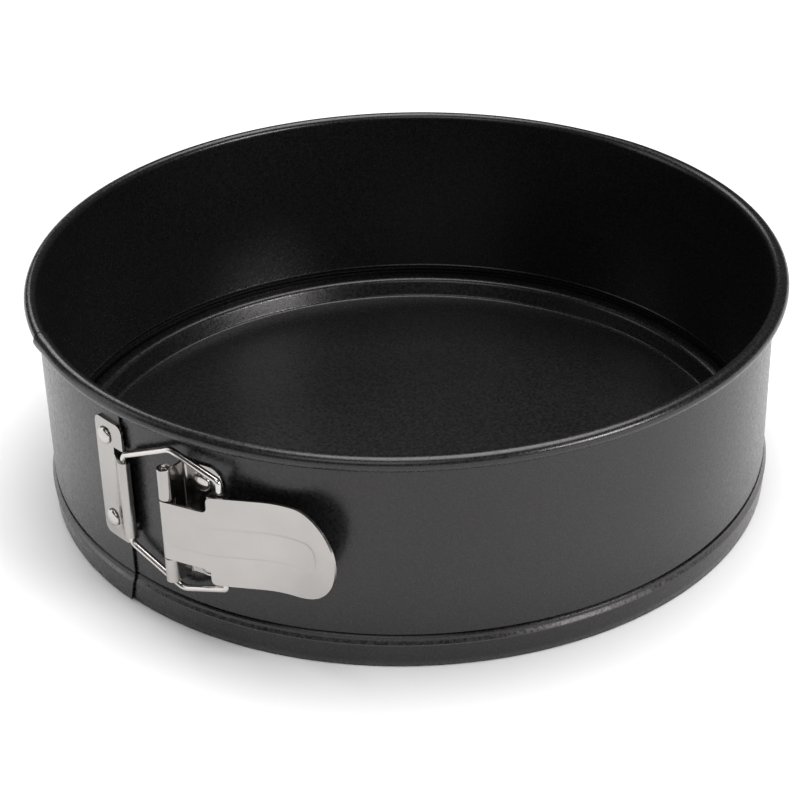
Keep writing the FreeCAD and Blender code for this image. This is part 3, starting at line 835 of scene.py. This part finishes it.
def make_anchor_plate():
    """Flat on the flap; in the wire's stretch it passes over the wire and curls round it."""
    centre = flat(left_centre)
    out = plate_in + GROW + PLATE
    anchor_az = azimuth_of(anchor_axis - centre)
    per_mm = math.degrees(MM / wall_out)
    left, right, bend = (anchor_az - per_mm * d
                         for d in (ANCHOR_WIDTH, ANCHOR_RIGHT, ANCHOR_JOGGLE))
    radius = WIRE + HOLE_PLAY + PLATE
    curl_low, curl_high = latch_z - CURL_DOWN, latch_z + CURL_UP
    notch_top = curl_high + CURL_NOTCH
    low, high = anchor_low.z, anchor_high.z
    corner = ANCHOR_CORNER
    rivets = [rivet_centre("anchor_rivet_upper"), rivet_centre("anchor_rivet_lower")]
    bump = rivet_bumps([left_centre + polar(out, azimuth_of(r - left_centre), r.z)
                        for r in rivets])

    # The joggle: a straight run that meets the curl's front on a tangent.
    leaves = centre + polar(out, bend).to_2d()
    to_curl = anchor_axis - leaves
    reach = math.sqrt(to_curl.length ** 2 - radius ** 2)
    angle = -math.asin(radius / to_curl.length)
    along = (Matrix.Rotation(angle, 2) @ to_curl).normalized()
    outward = polar(1, bend).to_2d()
    slope = along.dot(outward)

    def lift(gone):
        """How far the soft bend stands out of the sharp one, `gone` past the bend line."""
        return slope * max(JOGGLE_BLEND - abs(gone), 0) ** 2 / (4 * JOGGLE_BLEND)

    def point(az, z):
        p = left_centre + polar(out, az, z)
        in_curl = smooth((z - curl_low) / MM) * smooth((curl_high - z) / MM)
        raised = bump(p) + lift((az - bend) / per_mm * MM) * in_curl * (az <= bend + 1e-6)
        return left_centre + polar(out + raised, az, z)

    levels = spaced(low, curl_low, 8) + spaced(curl_low, curl_high, 28)[1:]
    levels += spaced(curl_high, notch_top, 2)[1:] + spaced(notch_top, high, 8)[1:]

    def columns_between(a, b, count):
        made = []
        for k in range(count + 1):
            az = a + (b - a) * k / count
            gone = min((az - left), (right - az)) / per_mm * MM
            inset = corner - math.sqrt(max(corner ** 2 - max(corner - gone, 0) ** 2, 0))
            made.append([point(az, min(max(z, low + inset), high - inset)) for z in levels])
        return made

    body = columns_between(left, bend, 26)
    cells = grid_cells(body)
    tabs = columns_between(bend, right, 12)
    for a, b in zip(tabs, tabs[1:]):
        for k in range(len(levels) - 1):
            if not curl_low < (levels[k] + levels[k + 1]) / 2 < notch_top:
                cells.append((a[k], b[k], b[k + 1], a[k + 1]))

    meets = leaves + along * reach
    start_angle = math.degrees(math.atan2(meets.y - anchor_axis.y, meets.x - anchor_axis.x))
    path = [leaves + along * d + outward * lift(d) for d in (reach * k / 12 for k in range(12))]
    path += curl_points(anchor_axis, radius, start_angle, 300)
    middle_rows = [k for k, z in enumerate(levels) if curl_low - 1e-7 < z < curl_high + 1e-7]
    web = [[body[-1][k] for k in middle_rows]]
    web += [[Vector((p.x, p.y, levels[k])) for k in middle_rows] for p in path[1:]]
    cells += grid_cells(web)
    plate = sheet("anchor_bracket", cells, PLATE, 0.14 * MM)
    dressed(plate, steel_sheet, "plated_steel", "ring_left", "anchor_plate")


make_anchor_plate()


# Corners of the wire from its upper end to its lower one: the share of the way from the anchor
# to the ears, and the height from the latch's middle in mm.
WIRE_OUTLINE = [(1.0, 15.0), (1.0, 19.1), (0.52, 23.1), (0.0, 13.9),
                (0.0, -15.9), (0.54, -24.0), (1.0, -17.2), (1.0, -15.0)]
WIRE_BENDS = (1.4, 5.0, 3.0, 3.0, 5.0, 1.4)


def make_wire():
    reach = (ear_pivot - anchor_axis).to_3d()
    points = [anchor_axis.to_3d() + reach * share + Vector((0, 0, latch_z + z * MM))
              for share, z in WIRE_OUTLINE]
    path = rounded(points, [r * MM for r in WIRE_BENDS], 6)
    wire = swept_tube("wire_bail", resampled(path, 1.2 * MM), WIRE, 24)
    dressed(wire, steel_wire, "plated_steel", "wire", "latch_wire")


make_wire()


def make_pin():
    radius = (pin_high.x - pin_low.x) / 2
    dome = 0.5 * MM
    turns = [math.radians(a) for a in range(10, 91, 16)]
    section = [(radius * math.sin(a), pin_low.z + dome * (1 - math.cos(a))) for a in turns]
    section += [(r, pin_low.z + pin_high.z - z) for r, z in section[::-1]]
    rod = lathe("pin_rod", section, pin_axis.to_3d(), 0, 360, 12, closed_section=False)
    made = bmesh.new()
    made.from_mesh(rod.data)
    bmesh.ops.holes_fill(made, edges=[e for e in made.edges if e.is_boundary], sides=0)
    bmesh.ops.recalc_face_normals(made, faces=made.faces)
    made.to_mesh(rod.data)
    made.free()
    dressed(rod, steel_rivet, "plated_steel", "ring_right", "hinge_pin")


make_pin()


def make_rivet(node, body, wider, centre):
    """Low domed head with a rolled edge; the shank ends flush inside the band."""
    middle = rivet_centre(node)
    az = azimuth_of(middle - centre)
    head, shank = 2.75 * MM, 1.5 * MM
    seat = plate_in + PLATE + wider + 0.03 * MM
    inner = wall_in + wider + 0.05 * MM
    crown, skirt = 1.2 * MM, 0.30 * MM
    profile = [(0.0, seat + crown)]
    for a in range(8, 91, 8):
        t = math.radians(a)
        profile.append((head * math.sin(t) ** 0.9,
                        seat + skirt + (crown - skirt) * math.cos(t)))
    profile += [(head, seat + 0.12 * MM), (head - 0.12 * MM, seat), (shank, seat),
                (shank, inner + 0.1 * MM), (shank - 0.1 * MM, inner), (0.0, inner)]
    count = 40
    out = polar(1, az)
    side = Vector((0, 0, 1)).cross(out)
    up = Vector((0, 0, 1))
    start = centre + Vector((0, 0, middle.z))
    verts, faces = [], []
    for k in range(count):
        t = 2 * math.pi * k / count
        d = side * math.cos(t) + up * math.sin(t)
        verts += [start + out * r + d * w for w, r in profile]
    n = len(profile)
    for k in range(count):
        m = (k + 1) % count
        for i in range(n - 1):
            faces.append((k * n + i, m * n + i, m * n + i + 1, k * n + i + 1))
    rivet = mesh_object(node + "_head", verts, faces)
    dressed(rivet, steel_rivet, "plated_steel", body, node)


for level in ("upper", "lower"):
    make_rivet("hinge_rivet_" + level, "ring_right", 0, Vector((0, 0, 0)))
    make_rivet("anchor_rivet_" + level, "ring_left", GROW, left_centre)

# Works out the direction across the seam and the sideways one, then bakes the left half's
# placement into its mesh.
across = (flat(left_centre) - seam_pivot).normalized()
sideways = Vector((across.y, -across.x))
if sideways.x > 0:
    sideways = -sideways
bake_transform(band_left)


# ---- Studio ------------------------------------------------------------------------------
def floor():
    n = Nodes("studio_floor")
    n.link(n.ramp(n.noise(6, 2), (0.3, (0.87, 0.87, 0.87)), (0.7, (0.90, 0.90, 0.90))),
           n.shader.inputs["Base Color"])
    n.shader.inputs["Roughness"].default_value = 0.7
    size = 6.0
    corners = [(-size, -size, 0), (size, -size, 0), (size, size, 0), (-size, size, 0)]
    obj = mesh_object("floor", corners, [(0, 1, 2, 3)], smooth=False)
    obj.location.z = -0.0002
    obj.data.materials.append(n.material)


floor()


def area_light(name, azimuth, distance, height, size, power, size_y):
    """A soft light, `azimuth` degrees round the pan, turned to the middle of the pan."""
    data = bpy.data.lights.new(name, "AREA")
    data.energy = power
    data.shape = "RECTANGLE"
    data.size = size
    data.size_y = size_y
    light = bpy.data.objects.new(name, data)
    bpy.context.scene.collection.objects.link(light)
    light.location = polar(distance, azimuth, height)
    towards = Vector((0, 0, 0.03)) - light.location
    light.rotation_euler = towards.to_track_quat("-Z", "Y").to_euler()


world = bpy.data.worlds.new("studio")
world.use_nodes = True
world.node_tree.nodes["Background"].inputs["Color"].default_value = (1, 1, 1, 1)
world.node_tree.nodes["Background"].inputs["Strength"].default_value = 0.055
bpy.context.scene.world = world
bpy.context.scene.view_settings.view_transform = "Standard"

VIEW_AZIMUTH = 33.8          # the camera's azimuth round the pan


def overhead_light():
    """Wide, even light from almost straight above, which makes the floor white."""
    data = bpy.data.lights.new("overhead", "SUN")
    data.energy = 3.25
    data.angle = math.radians(50)
    light = bpy.data.objects.new("overhead", data)
    bpy.context.scene.collection.objects.link(light)
    down = -polar(0.20, VIEW_AZIMUTH + 140, 1)
    light.rotation_euler = down.to_track_quat("-Z", "Y").to_euler()


overhead_light()
area_light("back_left", VIEW_AZIMUTH - 150, 1.5, 1.15, 0.8, 6.5, size_y=0.6)
area_light("front_soft", VIEW_AZIMUTH - 15, 1.3, 1.1, 1.1, 5.0, size_y=0.7)
area_light("left_strip", VIEW_AZIMUTH - 92, 1.0, 0.35, 0.35, 1.6, size_y=0.9)
area_light("right_strip", VIEW_AZIMUTH + 52, 1.1, 0.46, 0.50, 8, size_y=0.18)

# ---- Camera ------------------------------------------------------------------------------
DISTANCE, HEIGHT = 0.5877, 0.3688           # metres, from the pan's axis and from the table
PITCH, ROLL_ANGLE, YAW = 0.5360, -0.0260, -0.0050    # radians
LENS = 93.35

camera_data = bpy.data.cameras.new("camera")
camera_data.lens = LENS
camera_data.sensor_width = 36
camera_data.clip_start = 0.01
camera = bpy.data.objects.new("camera", camera_data)
bpy.context.scene.collection.objects.link(camera)
spin = Matrix.Rotation(math.radians(VIEW_AZIMUTH), 3, "Z")
forward = Vector((math.sin(YAW) * math.cos(PITCH), math.cos(YAW) * math.cos(PITCH),
                  -math.sin(PITCH)))
right = Vector((math.cos(YAW), -math.sin(YAW), 0))
up = right.cross(forward)
tilted_right = right * math.cos(ROLL_ANGLE) + up * math.sin(ROLL_ANGLE)
tilted_up = up * math.cos(ROLL_ANGLE) - right * math.sin(ROLL_ANGLE)
axes = Matrix((spin @ tilted_right, spin @ tilted_up, spin @ -forward)).transposed()
camera.matrix_world = Matrix.Translation(polar(DISTANCE, VIEW_AZIMUTH, HEIGHT)) @ axes.to_4x4()
bpy.context.scene.camera = camera
